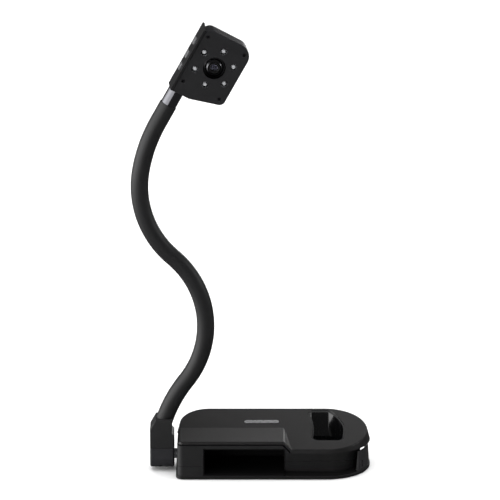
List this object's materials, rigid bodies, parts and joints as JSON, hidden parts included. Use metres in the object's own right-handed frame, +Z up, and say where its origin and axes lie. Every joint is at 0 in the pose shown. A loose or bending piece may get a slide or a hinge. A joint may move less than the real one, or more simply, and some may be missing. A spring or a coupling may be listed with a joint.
{
  "type": "document camera",
  "caption": "Portable document camera: gooseneck arm with a lit camera head on a rounded wedge base with a head bay and a carrying grip.",
  "frame": {"origin": "middle of the face that the base rests on", "axes": "+Z up, +X along the base towards its round end and carrying grip, -Y towards the open side of the head bay, where the camera faces"},
  "size_m": [0.2456, 0.093, 0.472],
  "materials": {
    "mat_rubber": "matt non-slip",
    "painted_plate": "fine satin black paint",
    "fastener_steel": "plain zinc plated",
    "dark_screw_steel": "blackened",
    "housing_plastic": "fine grained black",
    "cover_plastic": "fine grained satin black",
    "badge_metal": "satin, unlettered",
    "gloss_liner": "high gloss black",
    "bay_plastic": "dull black",
    "guard_plastic": "satin dark grey",
    "circuit_board": "green solder mask",
    "lamp_board": "black solder mask",
    "socket_metal": "nickel plated",
    "counterweight_steel": "plain",
    "bush_brass": "machined",
    "bracket_steel": "zinc plated",
    "shaft_steel": "ground",
    "core_steel": "wound strip",
    "knuckle_plastic": "satin black with a blue cast",
    "boot_plastic": "fine grained black",
    "sleeve_rubber": "fine matt skin",
    "neck_chrome": "dark polished",
    "head_plastic": "fine grained dark grey",
    "side_plate_plastic": "satin dark grey",
    "button_plastic": "satin dark grey",
    "sensor_glass": "coated",
    "lens_black": "satin black",
    "lens_glass": "coated",
    "lens_ring_metal": "dark polished bevel",
    "lamp_clear": "clear",
    "lamp_reflector": "bright reflector"
  },
  "bodies": {
    "base": {"base_mat": "mat_rubber", "bottom_plate": "painted_plate", "base_screws": "fastener_steel", "lower_housing": "housing_plastic", "upper_housing": "housing_plastic", "top_cover": "cover_plastic", "badge_inlay": "badge_metal", "grip_liner": "gloss_liner", "head_bay_liner": "bay_plastic", "end_guard": "guard_plastic", "main_circuit_board": "circuit_board", "usb_socket": "socket_metal", "counterweight": "counterweight_steel", "pivot_bush": "bush_brass", "pivot_bracket": "bracket_steel"},
    "arm_foot": {"pivot_shaft": "shaft_steel", "friction_washers": "fastener_steel", "pivot_nut": "fastener_steel", "foot_knuckle": "knuckle_plastic", "foot_boot": "boot_plastic", "foot_screws": "dark_screw_steel", "core_1": "core_steel", "sleeve_1": "sleeve_rubber"},
    "arm_2": {"core_2": "core_steel", "sleeve_2": "sleeve_rubber"},
    "arm_3": {"core_3": "core_steel", "sleeve_3": "sleeve_rubber"},
    "arm_4": {"core_4": "core_steel", "sleeve_4": "sleeve_rubber"},
    "arm_5": {"core_5": "core_steel", "sleeve_5": "sleeve_rubber"},
    "arm_6": {"core_6": "core_steel", "sleeve_6": "sleeve_rubber"},
    "arm_7": {"core_7": "core_steel", "sleeve_7": "sleeve_rubber"},
    "arm_8": {"core_8": "core_steel", "sleeve_8": "sleeve_rubber", "neck_tube": "neck_chrome", "swivel_clip": "fastener_steel"},
    "head": {"swivel_collar": "bush_brass", "head_front_cover": "head_plastic", "head_rear_cover": "head_plastic", "button_side_plate": "side_plate_plastic", "button_board": "circuit_board", "sensor_board": "circuit_board", "image_sensor": "sensor_glass", "lens_barrel": "lens_black", "lens_glass": "lens_glass", "lens_ring": "lens_ring_metal", "led_board": "lamp_board", "led_lamps": "lamp_clear", "led_wells": "lamp_reflector", "head_screws": "dark_screw_steel"},
    "button_1": {"button_1": "button_plastic"},
    "button_2": {"button_2": "button_plastic"},
    "button_3": {"button_3": "button_plastic"}
  },
  "joints": [
    {"name": "arm_fold", "type": "hinge", "parent": "base", "child": "arm_foot", "pos_m": [-0.1, -0.0115, 0.0166], "axis": [1, 0, 0], "range_deg": [-90, 0]},
    {"name": "gooseneck_bend_1", "type": "hinge", "parent": "arm_foot", "child": "arm_2", "pos_m": [-0.10082, -0.0115, 0.07988], "axis": [0, 1, 0], "range_deg": [-22, 22]},
    {"name": "gooseneck_bend_2", "type": "hinge", "parent": "arm_2", "child": "arm_3", "pos_m": [-0.07566, -0.0115, 0.12184], "axis": [0.9374, 0, -0.3483], "range_deg": [-22, 22]},
    {"name": "gooseneck_bend_3", "type": "hinge", "parent": "arm_3", "child": "arm_4", "pos_m": [-0.07062, -0.0115, 0.17016], "axis": [0, 1, 0], "range_deg": [-22, 22]},
    {"name": "gooseneck_bend_4", "type": "hinge", "parent": "arm_4", "child": "arm_5", "pos_m": [-0.08951, -0.0115, 0.21491], "axis": [0.7953, 0, 0.6062], "range_deg": [-22, 22]},
    {"name": "gooseneck_bend_5", "type": "hinge", "parent": "arm_5", "child": "arm_6", "pos_m": [-0.1217, -0.0115, 0.25176], "axis": [0, 1, 0], "range_deg": [-22, 22]},
    {"name": "gooseneck_bend_6", "type": "hinge", "parent": "arm_6", "child": "arm_7", "pos_m": [-0.13601, -0.0115, 0.2982], "axis": [0.9987, 0, 0.0513], "range_deg": [-22, 22]},
    {"name": "gooseneck_bend_7", "type": "hinge", "parent": "arm_7", "child": "arm_8", "pos_m": [-0.12792, -0.0115, 0.34631], "axis": [0, 1, 0], "range_deg": [-22, 22]},
    {"name": "head_swivel", "type": "hinge", "parent": "arm_8", "child": "head", "pos_m": [-0.07864, -0.0115, 0.43969], "axis": [0.4863, 0, 0.8738], "range_deg": [-90, 90]},
    {"name": "button_1_press", "type": "slide", "parent": "head", "child": "button_1", "axis": [0.8683, 0.1115, -0.4833], "range_m": [0, 0.0006], "stiffness_N_per_m": 900, "springref_m": -0.0012},
    {"name": "button_2_press", "type": "slide", "parent": "head", "child": "button_2", "axis": [0.8683, 0.1115, -0.4833], "range_m": [0, 0.0006], "stiffness_N_per_m": 900, "springref_m": -0.0012},
    {"name": "button_3_press", "type": "slide", "parent": "head", "child": "button_3", "axis": [0.8683, 0.1115, -0.4833], "range_m": [0, 0.0006], "stiffness_N_per_m": 900, "springref_m": -0.0012}
  ]
}
